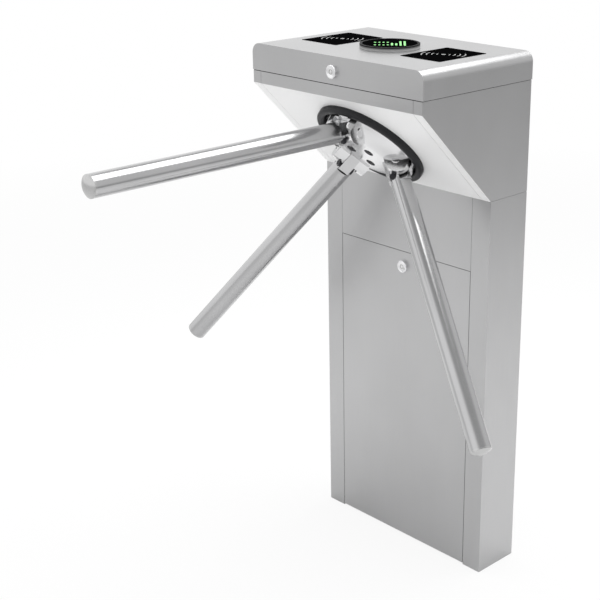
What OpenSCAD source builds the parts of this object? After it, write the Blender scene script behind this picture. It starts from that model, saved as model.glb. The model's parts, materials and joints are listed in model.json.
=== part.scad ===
// Tripod turnstile: a sheet-metal pedestal whose slanted face carries a rotor with three arms.
// The origin is on the floor, at the middle of the four anchor holes; the passage is on the -Y side.

/* [Housing] */
// Width of the pedestal and head
body_w = 420; // [400:5:460]
// Height from the floor to the top of the lid
body_h = 1000; // [960:5:1060]
// Depth of the head
head_d = 280; // [270:5:310]
// Depth of the pedestal
pedestal_d = 100; // [94:2:110]
// Height of the lid's side
lid_h = 50; // [44:1:60]
// Height of the upright strip between the slanted face and the lid
strip_h = 22; // [16:1:34]
// Thickness of the sheet metal
sheet = 2; // [1.5:0.5:2.5]
// Width of the side flanges beside the slanted face
head_flange = 20; // [14:1:26]
// Width of the front flanges beside the door
pedestal_flange = 42; // [30:1:60]
// How far the lid stands over the side panels
lid_over = 1.5; // [0.5:0.5:3]
// Radius of the lid's long rounded edges
lid_round = 18; // [8:1:24]
// Thickness of the floor plate
base_t = 10; // [8:1:14]

/* [Door] */
// Gap between the floor and the door
door_gap = 3; // [2:0.5:6]
// Height of the door
door_h = 605.5; // [500:0.5:640]
// Depth of the folded edges behind the door and panel
return_d = 13; // [11:1:15]
// Diameter of the door's pivot pins
door_pin_d = 6; // [4:1:8]
// Diameter of the locks' visible flanges
lock_d = 24; // [20:1:28]
// How far the locks stand proud
lock_proud = 4; // [3:1:8]
// Distance from the door's top edge to its lock
door_lock_drop = 29; // [26:1:60]

/* [Anchors and cable entry] */
// Distance from an anchor hole to the side of the housing
anchor_side = 21; // [18:1:25]
// Distance between the anchor holes across the depth
anchor_y = 50; // [40:2:60]
// Diameter of the anchor holes
anchor_d = 14; // [11:1:18]
// Inner diameter of the cable grommet
cable_d = 40; // [25:1:50]

/* [Lid top] */
// Width of a reader window
reader_w = 92; // [70:1:100]
// Depth of a reader window
reader_d = 121; // [90:1:140]
// Distance from the middle to a reader window's centre
reader_x = 125; // [118:1:130]
// Height of the shadow gap under the lid
lid_gap = 1.2; // [0.5:0.1:3]
// Diameter of the round indicator
indicator_d = 108; // [80:1:120]
// Height of the indicator above the lid
indicator_h = 6.5; // [4:0.5:10]

/* [Rotor head] */
// Radius of the rotor head
hub_r = 92; // [88:1:96]
// Radius of its flat front face
hub_face_r = 50; // [46:1:56]
// Height of the front face above the slanted panel
hub_face_h = 27.5; // [24:0.5:30]
// Outward bulge of the flank between rim and face
dome_bulge = 4; // [1:0.5:6]
// Diameter of the screws that hold the rotor head
hub_screw_d = 10; // [8:1:12]
// Radius of the circle on which those screws lie
hub_screw_r = 25; // [22:1:28]
// Radial width of the rubber ring
ring_w = 13; // [9:1:16]
// Height of the rubber ring above the panel
ring_h = 12; // [8:1:14]

/* [Arms] */
// Outer diameter of an arm
arm_d = 38; // [32:1:42]
// Wall of the arm tube
arm_wall = 1.5; // [1:0.5:3]
// Distance from the point where the arm axes meet to an arm's tip
arm_reach = 628; // [520:5:680]
// Depth of that meeting point behind the slanted panel
arm_meet = 44; // [42:1:46]
// Width of the root block between the ears
stub_w = 21; // [17:1:24]
// Thickness of an ear beside the root block
ear_t = 22; // [16:1:24]
// Width of an ear, seen along the pins
ear_w = 48; // [44:1:50]
// Height of the domed arm end
cap_dome = 7; // [3:1:12]
// Diameter of the pins on which the arms drop
arm_pin_d = 9; // [7:0.5:10]

/* [Drive] */
// Gear module
gear_module = 2.25; // [2:0.25:2.5]
// Teeth of the gear on the main shaft
gear_teeth = 40; // [36:1:42]
// Teeth of the motor pinion
pinion_teeth = 16; // [16:1:20]
// Width of the gear's face
gear_w = 12; // [8:1:14]
// Diameter of the main shaft
shaft_d = 25; // [20:1:30]
// Outer diameter of the shaft bearings
bearing_d = 52; // [46:1:56]
// Width of a shaft bearing
bearing_w = 15; // [12:1:17]
// Radius of the lock wheel
lock_r = 48; // [44:1:50]
// Notches around the lock wheel, a whole number for each third of a turn
lock_notches = 12; // [9:3:15]
// Thickness of the lock wheel
lock_t = 8; // [6:1:10]
// Outer diameter of the gearmotor
motor_d = 50; // [40:1:52]

/* [Hidden] */
$fn = 64;

// The hub axis leans so that one arm lies level while the other two hang
lean = 45;
arm_tilt = 90 - lean;
arm_count = 3;
arm_step = 360 / arm_count;
pressure_angle = 25;

// Clearances
run_fit = 0.05;
part_gap = 0.3;
seam = 1;
cut = 1;

// Planes of the housing
back_y = pedestal_d / 2;
front_y = -pedestal_d / 2;
head_front_y = back_y - head_d;
lid_z = body_h - lid_h;
strip_z = lid_z - strip_h;
slope_run = head_d - pedestal_d;
foot_z = strip_z - slope_run * tan(lean);
slope_len = slope_run / cos(lean);
half_w = body_w / 2;
inner_w = half_w - sheet;
anchor_x = body_w - 2 * anchor_side;

// Rotor centre on the slanted face, a little below its middle
hub_drop = 5.1;
hub_up = slope_len / 2 - hub_drop;
hub_y = front_y - hub_up * cos(lean);
hub_z = foot_z + hub_up * sin(lean);

// Folded edges of the housing
stop_lip = 10;
top_flange = 12;
panel_lip = 14;

// Door and front panel; the door drops forward on pins near its lower edge
door_w = body_w - 2 * pedestal_flange - 2 * seam;
door_pin_in = 6;
door_pin_up = 10;
door_z = door_gap;
door_top = door_z + door_h;
door_pin_y = front_y + door_pin_in;
door_pin_z = door_z + door_pin_up;
door_pin_len = 7;
stop_y = front_y + return_d + sheet;
stop_z = door_pin_z + return_d;
frame_half = half_w - pedestal_flange + sheet;

// The floor plate keeps clear of the door's lower rear edge as that swings
swing_deep = stop_y - part_gap - door_pin_y;
base_front = door_pin_y + sqrt(swing_deep * swing_deep + door_pin_up * door_pin_up) + part_gap;

// Cam locks: flange, barrel, nut and cam
barrel_d = 19;
barrel_len = return_d + sheet + seam;
lock_nut_d = 25;
lock_nut_t = 4;
lock_slot_w = 2;
lock_slot_len = 11;
lock_slot_deep = 1.5;
cam_len = 44;
cam_w = 15;
cam_t = 3;
cam_screw_t = 2;
hook_len = 8;
cam_stem_d = 8;
cam_stem_len = 3;
door_lock_z = door_top - door_lock_drop;
lid_lock_up = 23;
lid_lock_z = lid_z + lid_lock_up;

// Lid
lid_half = half_w + lid_over;
lid_base_z = lid_z + lid_gap;
lid_mid_y = (back_y + head_front_y) / 2;
reader_back = 3;
reader_y = lid_mid_y + reader_back;
window_proud = 0.4;
window_round = 3;
module_share = 1.1;
module_t = 18;
indicator_rim = 3;
indicator_lip = 3;
lens_deep = 12;
strike_t = 2;
strike_w = 40;
strike_lip_w = 18;
strike_d = barrel_len - sheet - seam;
strike_foot = 5;
hook_near = sqrt(strike_lip_w * strike_lip_w / 4 + (lid_lock_up + strike_t) * (lid_lock_up + strike_t))
    + seam;

// Lid hinges, outside the back panel
hinge_x = 140;
hinge_len = 60;
hinge_d = 8;
hinge_pin_d = 4;
hinge_leaf = 1.5;
hinge_leaf_h = 22;
hinge_parts = 3;
hinge_y = back_y + hinge_d / 2 + part_gap;
hinge_z = lid_z + lid_gap / 2;

// Rotor head
hub_back = 6;
hub_rim_h = 4;
dome_steps = 8;
ring_gap = 3;
ring_in_r = hub_r + ring_gap;
ring_out_r = ring_in_r + ring_w;
ring_round = 5;
ring_skirt = 4;
screw_seat = 12;
screw_sink = 2;
screw_head_share = 1.6;
screw_hex_share = 0.8;
counterbore_share = 1.8;
spigot_d = 50;
spigot_h = 3;

// Arm roots, along the arm from the meeting point, and across it
clevis_s = 90;
pivot_s = 112.5;
pivot_n = 12;
stub_end_r = 10;
stub_end_s = pivot_s + stub_end_r;
stub_front = pivot_n + stub_end_r;
stub_rear = 19;
stub_in_s = 68.5;
ear_end_s = 114;
ear_root_s = 64;
ear_shift = 4;
cheek_r = 10.2;
fork_s = stub_end_s + part_gap;
fork_disc_t = 5;
tube_s = fork_s + fork_disc_t;
fork_spigot = 22;
cap_rim = 3;
cap_s = arm_reach - cap_dome - cap_rim;
cap_spigot = 15;
clevis_bolt_d = 10;
clevis_head_d = 13;
clevis_head_t = 2;
pin_head_share = 1.35;
pin_head_t = 3;
pin_proud = 1;
ear_in = stub_w / 2 + part_gap;
ear_out = ear_in + ear_t;
ear_r = ear_w / 2;
ear_mid_s = ear_end_s - ear_r;
ear_step_x = arm_d / 2 + 2 * part_gap;
ear_step_s = pivot_s - cheek_r - 2 * part_gap;

// Shaft and wheels, by depth behind the slanted face
flange_d = 76;
flange_t = 10;
plate_at = 20;
plate_t = 6;
shaft_step_d = 32;
housing_flange_d = 104;
housing_flange_t = 8;
housing_d = 74;
housing_spigot_d = 62;
housing_len = 50;
housing_step = 2;
housing_at = plate_at + housing_step;
bearing_1_at = housing_at + housing_step;
bearing_2_at = housing_at + housing_len - bearing_w;
bearing_bore_d = 46;
ball_d = 7;
ball_count = 9;
race_t = 4;
lock_room = 4;
lock_at = housing_at + housing_len + lock_room;
gear_room = 3;
gear_at = lock_at + lock_t + gear_room;
disc_room = 2;
disc_at = gear_at + gear_w + disc_room;
disc_t = 1.5;
nut_at = disc_at + disc_t;
nut_t = 6;
nut_d = 34;
thread_d = 20;
shaft_tip = 1.5;
shaft_end = nut_at + nut_t + shaft_tip;
boss_d = 40;
rear_room = 6;
rear_at = shaft_end + rear_room;
rear_t = 5;

// Lock wheel notches and encoder windows
notch_w = 10.5;
notch_deep = 8.5;
wheel_hole_d = 16;
wheel_hole_r = 32;
disc_d = 64;
window_count = 24;
window_len = 7;
window_w = 2.5;
window_edge = 3;

// Gears
pitch_r = gear_module * gear_teeth / 2;
pinion_r = gear_module * pinion_teeth / 2;
gear_centres = pitch_r + pinion_r;
tip_share = 0.9;
root_share = 1.2;
tooth_backlash = 0.3;
flank_steps = 4;
pinion_shaft_d = 8;

// Mechanism frame: plates, rails, posts
plate_side_room = 6;
plate_half_w = inner_w - plate_side_room;
plate_half_l = 98;
rail_w = 30;
rail_t = 3;
rail_leg = 30;
post_d = 14;
upper_post = [64, -34];
lower_post = [80, 100];
rear_half_w = 94;
rear_up = 42;
rear_down = 112;
frame_screw_d = 6;
frame_screw_head_d = 10;
frame_screw_head_t = 5;
housing_screw_r = 44.5;
housing_screws_n = 6;
rail_screw_y = 80;

// Pawls, their posts, solenoids and plungers
pawl_at = [48, 38];
pawl_post_d = 10;
pawl_shoulder_d = 16;
pawl_boss_r = 9;
pawl_t = 7;
pawl_bar_w = 10;
pawl_arm_x = 12;
pawl_over = 6;
pawl_gap = 2;
nose_w = 7;
tail_len = 50;
tail_end = 6;
link_pin_d = 5;
link_slot = 3;
plunger_d = 10;
plunger_in = 34;
link_t = 3;
link_w = 12;
link_len = 14;
solenoid_w = 30;
solenoid_l = 50;
solenoid_wall = 3;
solenoid_y = 8;
coil_d = 23;
bracket_t = 3;
solenoid_x = pawl_at[0] + tail_len;
pawl_mid = lock_at + lock_t / 2;

// Gearmotor and sensor board
motor_len = 47;
motor_flange_t = 6;
gearbox_share = 0.5;
motor_share = 0.9;
motor_boss_d = 20;
board_t = 1.6;
board_w = 44;
board_l = 26;
board_x = -34;
sensor_w = 8;
sensor_gap = 1.6;
sensor_h = 4;
sensor_x = -26;
board_post_d = 6;

// Equipment inside the pedestal
carrier_w = 320;
carrier_z = 130;
carrier_h = 470;
carrier_gap = 4;
supply_size = [160, 36, 98];
supply_z = 190;
board_size = [170, 1.6, 120];
board_z = 430;
board_stand = 6;
chip_size = [24, 5, 24];
relay_size = [16, 14, 20];
relay_pitch = 22;
relay_count = 5;
rail_size = [220, 7, 35];
rail_z = 335;
terminal_pitch = 8;
terminal_count = 18;
terminal_size = [7.2, 30, 42];
battery_size = [150, 65, 94];
battery_x = -60;
battery_post = [6, 6, 5];
battery_post_x = 60;
cable_x = 90;
grommet_lip = 4;
grommet_lip_h = 2;

// Colours
steel = [0.66, 0.66, 0.67];
bright = [0.85, 0.85, 0.86];
pale = [0.9, 0.9, 0.9];
black = [0.08, 0.08, 0.09];
zinc = [0.6, 0.62, 0.62];
brass = [0.78, 0.66, 0.35];
board_green = [0.1, 0.35, 0.2];

// Box between two values on each axis
module span(x, y, z) {
    translate([x[0], y[0], z[0]]) cube([x[1] - x[0], y[1] - y[0], z[1] - z[0]]);
}

// Outline in Y and Z, drawn out along X
module across(x) {
    translate([x[0], 0, 0]) rotate([90, 0, 90]) linear_extrude(x[1] - x[0]) children();
}

module both_sides() {
    children();
    mirror([1, 0, 0]) children();
}

module tube(d_out, d_in, h) {
    difference() {
        cylinder(d = d_out, h = h);
        translate([0, 0, -cut]) cylinder(d = d_in, h = h + 2 * cut);
    }
}

// Frame on the slanted face with Z pointing out along the hub axis and Y up the slope
module slant_front() {
    translate([0, hub_y, hub_z]) rotate([90 + lean, 0, 0]) children();
}

// Frame behind the slanted face with Z pointing into the head and Y down the slope
module slant_back(depth = 0) {
    translate([0, hub_y, hub_z]) rotate([-lean, 0, 0]) translate([0, 0, depth]) children();
}

// Frame of one arm: Z along the arm from the meeting point, X along its pins, Y to its rear
module arm_frame(number) {
    slant_front() rotate([0, 0, number * arm_step]) translate([0, 0, -arm_meet])
        rotate([-arm_tilt, 0, 0]) children();
}

// Rod along X in the arm frame, at a place across and along the arm
module cross_rod(d, n, s, x) {
    translate([x[0], -n, s]) rotate([0, 90, 0]) cylinder(d = d, h = x[1] - x[0]);
}

// Housing

module base_plate() color(zinc) difference() {
    union() {
        span([-inner_w, inner_w], [base_front, back_y - sheet], [0, base_t]);
        both_sides() span([frame_half, inner_w], [front_y + sheet, back_y - sheet], [0, base_t]);
    }
    for (x = [-anchor_x / 2, anchor_x / 2], y = [-anchor_y / 2, anchor_y / 2])
        translate([x, y, -cut]) cylinder(d = anchor_d, h = base_t + 2 * cut);
    translate([cable_x, 0, -cut]) cylinder(d = cable_d + 2 * grommet_lip, h = base_t + 2 * cut);
}

// Back, two sides and folded front flanges with a step that the door and panels close against
module pedestal_shell() color(steel) difference() {
    union() {
        span([-half_w, half_w], [back_y - sheet, back_y], [0, foot_z]);
        both_sides() {
            span([inner_w, half_w], [front_y, back_y], [0, foot_z]);
            span([half_w - pedestal_flange, half_w], [front_y, front_y + sheet], [0, foot_z]);
            span([frame_half - sheet, frame_half], [front_y, stop_y + sheet], [0, foot_z]);
            span([frame_half - sheet - stop_lip, frame_half], [stop_y, stop_y + sheet],
                [stop_z, foot_z]);
        }
    }
    translate([-frame_half - cut, door_pin_y, door_pin_z]) rotate([0, 90, 0])
        cylinder(d = door_pin_d + 2 * run_fit, h = 2 * (frame_half + cut));
}

// Sheet with edges folded back at its sides and foot, and at its top where asked
module folded_sheet(w, z, deep, top) {
    span([-w / 2, w / 2], [front_y, front_y + sheet], z);
    both_sides() span([w / 2 - sheet, w / 2], [front_y, front_y + deep], z);
    span([-w / 2, w / 2], [front_y, front_y + deep], [z[0], z[0] + sheet]);
    if (top) span([-w / 2, w / 2], [front_y, front_y + deep], [z[1] - sheet, z[1]]);
}

module front_panel() color(steel)
    folded_sheet(door_w + seam, [door_top + seam, foot_z], return_d + sheet, false);

function slant_outline(inset) = [
    [front_y + inset / cos(lean), foot_z],
    [head_front_y + inset, strip_z + inset * (1 / cos(lean) - 1)],
    [head_front_y + inset, lid_z]];

function reversed(list) = [for (i = [len(list) - 1:-1:0]) list[i]];

// Strip of sheet that follows the slanted face and the upright strip above it
module slant_strip(x, inset) across(x)
    polygon(concat(slant_outline(inset), reversed(slant_outline(inset + sheet))));

// Half-deep groove round the outside, at the joint with the pedestal
module head_seam() difference() {
    span([-half_w - cut, half_w + cut], [head_front_y, back_y + cut], [foot_z - cut, foot_z + seam]);
    span([sheet / 2 - half_w, half_w - sheet / 2], [head_front_y - cut, back_y - sheet / 2],
        [foot_z - 2 * cut, foot_z + 2 * seam]);
}

module head_shell() color(steel) difference() {
    head_sheets();
    head_seam();
}

module head_sheets() {
    span([-half_w, half_w], [back_y - sheet, back_y], [foot_z, lid_z]);
    both_sides() {
        across([inner_w, half_w]) polygon(concat(slant_outline(0),
            [[back_y, lid_z], [back_y, foot_z]]));
        slant_strip([half_w - head_flange, half_w], 0);
        slant_strip([half_w - head_flange - panel_lip, half_w], sheet);
        span([half_w - top_flange, half_w], [head_front_y, back_y], [lid_z - sheet, lid_z]);
    }
}

module slant_panel() color(pale) difference() {
    slant_strip([-(half_w - head_flange - seam / 2), half_w - head_flange - seam / 2], 0);
    slant_front() translate([0, 0, -sheet - cut]) cylinder(r = ring_in_r + ring_skirt / 2,
        h = sheet + 2 * cut);
}

// Rounded rubber ring with a skirt through the panel's hole
module opening_ring() color(black) slant_front() rotate_extrude() {
    translate([ring_in_r, 0]) square([ring_w, ring_h - ring_round]);
    translate([ring_in_r + ring_round, ring_h - ring_round]) circle(r = ring_round);
    translate([ring_out_r - ring_round, ring_h - ring_round]) circle(r = ring_round);
    translate([ring_in_r + ring_round, 0]) square([ring_w - 2 * ring_round, ring_h]);
    translate([ring_in_r, -ring_skirt]) square([ring_skirt / 2, ring_skirt]);
}

module lid_strike() color(zinc) {
    span([-strike_w / 2, strike_w / 2], [head_front_y + sheet, head_front_y + sheet + strike_t],
        [strip_z + strike_foot, lid_z]);
    span([-strike_lip_w / 2, strike_lip_w / 2],
        [head_front_y + sheet, head_front_y + sheet + strike_d], [lid_z - strike_t, lid_z]);
}

// Cam lock with its axis along Y, seen from the front; the mouth is at the sheet's outer face
module lock_body(at) translate(at) rotate([90, 0, 0]) difference() {
    union() {
        cylinder(d = lock_d, h = lock_proud);
        translate([0, 0, -barrel_len]) cylinder(d = barrel_d, h = barrel_len + cut);
        translate([0, 0, -sheet - lock_nut_t]) cylinder(d = lock_nut_d, h = lock_nut_t, $fn = 6);
    }
    translate([-lock_slot_w / 2, -lock_slot_len / 2, lock_proud - lock_slot_deep])
        cube([lock_slot_w, lock_slot_len, lock_slot_deep + cut]);
    translate([0, 0, -barrel_len - cut])
        cylinder(d = cam_stem_d + 2 * run_fit, h = cam_stem_len + cut + part_gap);
}

// Cam on a short stem behind the barrel, pointing along one side of X
module lock_cam(at) translate(at) rotate([90, 0, 0]) {
    translate([0, 0, -barrel_len - part_gap - cut]) cylinder(d = cam_stem_d, h = cam_stem_len + cut);
    translate([0, 0, -barrel_len - part_gap - cam_t]) {
        cylinder(d = cam_w, h = cam_t);
        translate([0, 0, -cam_screw_t]) cylinder(d = cam_stem_d, h = cam_screw_t);
        translate([0, -cam_w / 2, 0]) cube([cam_len - cam_w / 2, cam_w, cam_t]);
    }
}

module door_lock() color(bright) lock_body([0, front_y, door_lock_z]);
module door_lock_cam() color(zinc) lock_cam([0, front_y, door_lock_z]);
module lid_lock() color(bright) lock_body([0, head_front_y, lid_lock_z]);

// The lid's cam ends in a hook that turns under the strike
module lid_lock_cam() color(zinc) {
    hook_y = head_front_y + barrel_len + part_gap;
    lock_cam([0, head_front_y, lid_lock_z]);
    span([hook_near, cam_len - cam_w / 2], [hook_y - hook_len, hook_y + cam_t],
        [lid_lock_z - cam_w / 2, lid_lock_z + cam_w / 2]);
}

module door_panel() color(steel) difference() {
    folded_sheet(door_w, [door_z, door_top], stop_y - part_gap - front_y, true);
    translate([0, front_y - cut, door_lock_z]) rotate([-90, 0, 0])
        cylinder(d = barrel_d + 2 * run_fit, h = sheet + 2 * cut);
    translate([-half_w, door_pin_y, door_pin_z]) rotate([0, 90, 0])
        cylinder(d = door_pin_d, h = body_w);
}

module door_pivot_pins() color(bright) both_sides()
    translate([frame_half - door_pin_len, door_pin_y, door_pin_z])
    rotate([0, 90, 0]) cylinder(d = door_pin_d, h = door_pin_len);

// Lid

// Section of the lid across the width, inset by a wall and run out below by a drop
module lid_section(inset, drop) {
    half = lid_half - inset;
    high = lid_h - lid_gap - inset;
    round_r = lid_round - inset;
    translate([-half, -drop]) square([2 * half, high - round_r + drop]);
    translate([round_r - half, 0]) square([2 * (half - round_r), high]);
    for (x = [round_r - half, half - round_r]) translate([x, high - round_r]) circle(r = round_r);
}

module lid_block(inset, drop, y) translate([0, y[1], lid_base_z]) rotate([90, 0, 0])
    linear_extrude(y[1] - y[0]) lid_section(inset, drop);

module lid_shell() color(steel) difference() {
    lid_block(0, 0, [head_front_y, back_y]);
    lid_block(sheet, cut, [head_front_y + sheet, back_y - sheet]);
    both_sides() window_plan(reader_w, reader_d, body_h - sheet - cut, sheet + 2 * cut);
    translate([0, lid_mid_y, body_h - sheet - cut]) cylinder(d = indicator_d - 2 * indicator_rim,
        h = sheet + 2 * cut);
    translate([0, head_front_y - cut, lid_lock_z]) rotate([-90, 0, 0])
        cylinder(d = barrel_d + 2 * run_fit, h = sheet + 2 * cut);
}

// Upright block with rounded corners at the place of the right-hand reader
module window_plan(w, d, z, h) translate([reader_x, reader_y, z]) linear_extrude(h) {
    square([w - 2 * window_round, d], center = true);
    square([w, d - 2 * window_round], center = true);
    for (x = [-w / 2 + window_round, w / 2 - window_round],
         y = [-d / 2 + window_round, d / 2 - window_round])
        translate([x, y]) circle(r = window_round);
}

module reader_windows() color(black) both_sides()
    window_plan(reader_w - part_gap, reader_d - part_gap, body_h - sheet,
        sheet + window_proud);

module reader_modules() color([0.2, 0.2, 0.22]) both_sides()
    window_plan(reader_w * module_share, reader_d * module_share, body_h - sheet - module_t,
        module_t);

// Turned metal rim that stands on the lid and passes through its hole
module indicator_bezel() color(bright) translate([0, lid_mid_y, body_h]) {
    tube(indicator_d, indicator_d - 3 * indicator_rim, indicator_h);
    translate([0, 0, -sheet - indicator_lip])
        tube(indicator_d - 2 * indicator_rim, indicator_d - 4 * indicator_rim,
            sheet + indicator_lip);
}

module indicator_lens() color(black) translate([0, lid_mid_y, body_h]) {
    cylinder(d = indicator_d - 3 * indicator_rim, h = indicator_h - window_proud);
    translate([0, 0, -lens_deep])
        cylinder(d = indicator_d - 4 * indicator_rim, h = lens_deep);
}

// One leaf with its share of the knuckles; up is 1 for the lid's leaf and -1 for the fixed one
module hinge_leaf(up) for (x = [-hinge_x, hinge_x]) {
    piece = hinge_len / hinge_parts;
    mine = up > 0 ? [1] : [0, 2];
    leaf_z = up > 0 ? [hinge_z + hinge_d / 2, hinge_z + hinge_leaf_h]
        : [hinge_z - hinge_leaf_h, hinge_z - hinge_d / 2];
    span([x - hinge_len / 2, x + hinge_len / 2], [back_y, back_y + hinge_leaf], leaf_z);
    for (i = mine) translate([x - hinge_len / 2 + i * piece + part_gap / 2, 0, 0]) difference() {
        union() {
            translate([0, hinge_y, hinge_z]) rotate([0, 90, 0])
                cylinder(d = hinge_d, h = piece - part_gap);
            translate([0, back_y, up > 0 ? hinge_z : hinge_z - hinge_d])
                cube([piece - part_gap, hinge_leaf, hinge_d]);
        }
        translate([-cut, hinge_y, hinge_z]) rotate([0, 90, 0])
            cylinder(d = hinge_pin_d + (up > 0 ? 2 * run_fit : 0), h = piece + 2 * cut);
    }
}

module hinge_leaves_fixed() color(zinc) hinge_leaf(-1);
module hinge_leaves_lid() color(zinc) hinge_leaf(1);

module hinge_pins() color(bright) for (x = [-hinge_x, hinge_x])
    translate([x - hinge_len / 2, hinge_y, hinge_z]) rotate([0, 90, 0])
        cylinder(d = hinge_pin_d, h = hinge_len);

// Rotor head and arms

function dome_point(t) = let (
        run = hub_r - hub_face_r,
        rise = hub_face_h - hub_rim_h,
        edge = sqrt(run * run + rise * rise),
        out = 4 * dome_bulge * t * (1 - t))
    [hub_r - run * t + out * rise / edge, hub_rim_h + rise * t + out * run / edge];

module hub_dome() rotate_extrude() polygon(concat(
    [[0, -hub_back], [hub_r, -hub_back]],
    [for (i = [0:dome_steps]) dome_point(i / dome_steps)],
    [[0, hub_face_h]]));

// Side view of an ear: a broad round-ended cheek, cut off at a distance along the arm
module ear_outline(end) intersection() {
    union() {
        translate([ear_shift, ear_mid_s]) circle(r = ear_r);
        translate([ear_shift - ear_r, ear_root_s]) square([ear_w, ear_mid_s - ear_root_s]);
    }
    translate([ear_shift - ear_r, ear_root_s]) square([ear_w, end - ear_root_s]);
}

// Side view of a root block, grown by a gap for its slot in the rotor head
module stub_outline(gap = 0) {
    difference() {
        union() {
            translate([-stub_front - gap, stub_in_s - gap])
                square([stub_front + stub_rear + 2 * gap, pivot_s - stub_in_s + gap]);
            translate([-pivot_n, stub_in_s])
                square([pivot_n + stub_rear + gap, stub_end_s - stub_in_s]);
            translate([-pivot_n, pivot_s]) circle(r = stub_end_r);
        }
        // Cut parallel to the rotor head's base, which the block stands on
        rotate([0, 0, arm_tilt]) translate([-arm_reach / 2, -arm_reach])
            square([arm_reach, arm_reach + (arm_meet + hub_rim_h + part_gap - gap)]);
    }
}

module hub_casting() color(bright) difference() {
    union() {
        slant_front() hub_dome();
        // The root block and the fork turn between ears that step out beside them
        for (i = [0:arm_count - 1]) intersection() {
            arm_frame(i) both_sides() {
                across([ear_in, ear_out]) ear_outline(ear_step_s);
                across([ear_step_x, ear_out]) ear_outline(ear_end_s);
            }
            slant_front() translate([0, 0, -hub_back]) cylinder(r = hub_r, h = hub_r);
        }
    }
    for (i = [0:arm_count - 1]) arm_frame(i) {
        across([-ear_in, ear_in]) stub_outline(part_gap);
        cross_rod(clevis_bolt_d, 0, clevis_s, [-ear_out - cut, ear_out + cut]);
        both_sides() cross_rod(clevis_head_d, 0, clevis_s,
            [ear_out - clevis_head_t, ear_out + cut]);
    }
    slant_front() {
        translate([0, 0, -hub_back - cut]) cylinder(d = spigot_d, h = spigot_h + cut);
        for (i = [0:arm_count - 1]) rotate([0, 0, (i + 1 / 2) * arm_step])
            translate([0, hub_screw_r, 0]) {
                translate([0, 0, -hub_back - cut])
                    cylinder(d = hub_screw_d + 2 * run_fit, h = hub_face_h + hub_back + 2 * cut);
                translate([0, 0, hub_face_h - screw_seat])
                    cylinder(d = hub_screw_d * counterbore_share, h = screw_seat + cut);
            }
    }
}

// Socket screw with its head up along Z and the seat at zero
module socket_screw(d, shank, head_t) difference() {
    union() {
        translate([0, 0, -shank]) cylinder(d = d, h = shank);
        cylinder(d = d * screw_head_share, h = head_t);
    }
    translate([0, 0, head_t - head_t / 2]) cylinder(d = d * screw_hex_share, h = head_t, $fn = 6);
}

module hub_screws() color(zinc) slant_front() for (i = [0:arm_count - 1])
    rotate([0, 0, (i + 1 / 2) * arm_step]) translate([0, hub_screw_r, hub_face_h - screw_seat])
        socket_screw(hub_screw_d, hub_face_h - screw_seat + hub_back + flange_t,
            screw_seat - screw_sink);

module arm_stubs() color(bright) for (i = [0:arm_count - 1]) arm_frame(i) difference() {
    across([-stub_w / 2, stub_w / 2]) stub_outline();
    cross_rod(clevis_bolt_d + 2 * run_fit, 0, clevis_s, [-stub_w, stub_w]);
    cross_rod(arm_pin_d, pivot_n, pivot_s, [-stub_w, stub_w]);
}

module stub_bolts() color(zinc) for (i = [0:arm_count - 1]) arm_frame(i) {
    cross_rod(clevis_bolt_d, 0, clevis_s, [-ear_out + clevis_head_t, ear_out - clevis_head_t]);
    both_sides() difference() {
        cross_rod(clevis_head_d, 0, clevis_s, [ear_out - clevis_head_t, ear_out]);
        translate([ear_out - clevis_head_t / 2, 0, clevis_s]) rotate([0, 90, 0])
            cylinder(d = clevis_bolt_d * screw_hex_share, h = clevis_head_t, $fn = 6);
    }
}

// Half-width of the round arm at the height of its pivot pin
pin_half = sqrt(arm_d * arm_d / 4 - pivot_n * pivot_n);

module arm_pivot_pins() color(zinc) for (i = [0:arm_count - 1]) arm_frame(i) difference() {
    union() {
        cross_rod(arm_pin_d, pivot_n, pivot_s, [-pin_half, pin_half]);
        both_sides() cross_rod(arm_pin_d * pin_head_share, pivot_n, pivot_s,
            [pin_half + pin_proud - pin_head_t, pin_half + pin_proud]);
    }
    translate([pin_half + pin_proud / 2, -pivot_n - arm_pin_d, pivot_s - lock_slot_w / 2])
        cube([pin_proud, 2 * arm_pin_d, lock_slot_w]);
}

// Two cheeks round the root block's end, and a plug for the tube
module arm_fork() difference() {
    union() {
        intersection() {
            cylinder(d = arm_d, h = tube_s);
            across([-arm_d / 2, arm_d / 2]) {
                translate([-pivot_n, pivot_s]) circle(r = cheek_r);
                translate([-pivot_n - cheek_r, pivot_s]) square([2 * cheek_r, tube_s - pivot_s]);
                translate([-arm_d / 2, fork_s]) square([arm_d, tube_s - fork_s]);
            }
        }
        translate([0, 0, fork_s]) cylinder(d = arm_d - 2 * arm_wall - 2 * run_fit,
            h = tube_s - fork_s + fork_spigot);
    }
    span([-ear_in, ear_in], [-arm_d, arm_d], [0, fork_s]);
    cross_rod(arm_pin_d + 2 * run_fit, pivot_n, pivot_s, [-arm_d, arm_d]);
    both_sides() cross_rod(arm_pin_d * pin_head_share + 2 * part_gap, pivot_n, pivot_s,
        [pin_half + pin_proud - pin_head_t - part_gap, arm_d]);
}

module arm_tube() translate([0, 0, tube_s]) tube(arm_d, arm_d - 2 * arm_wall, cap_s - tube_s);

// Domed end with a spigot inside the tube
module arm_cap() {
    sphere_r = (arm_d * arm_d / 4 + cap_dome * cap_dome) / (2 * cap_dome);
    translate([0, 0, cap_s]) cylinder(d = arm_d, h = arm_reach - cap_dome - cap_s);
    translate([0, 0, cap_s - cap_spigot]) cylinder(d = arm_d - 2 * arm_wall - 2 * run_fit,
        h = cap_spigot);
    intersection() {
        translate([0, 0, arm_reach - sphere_r]) sphere(r = sphere_r);
        translate([0, 0, arm_reach - cap_dome]) cylinder(d = arm_d, h = cap_dome + cut);
    }
}

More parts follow.
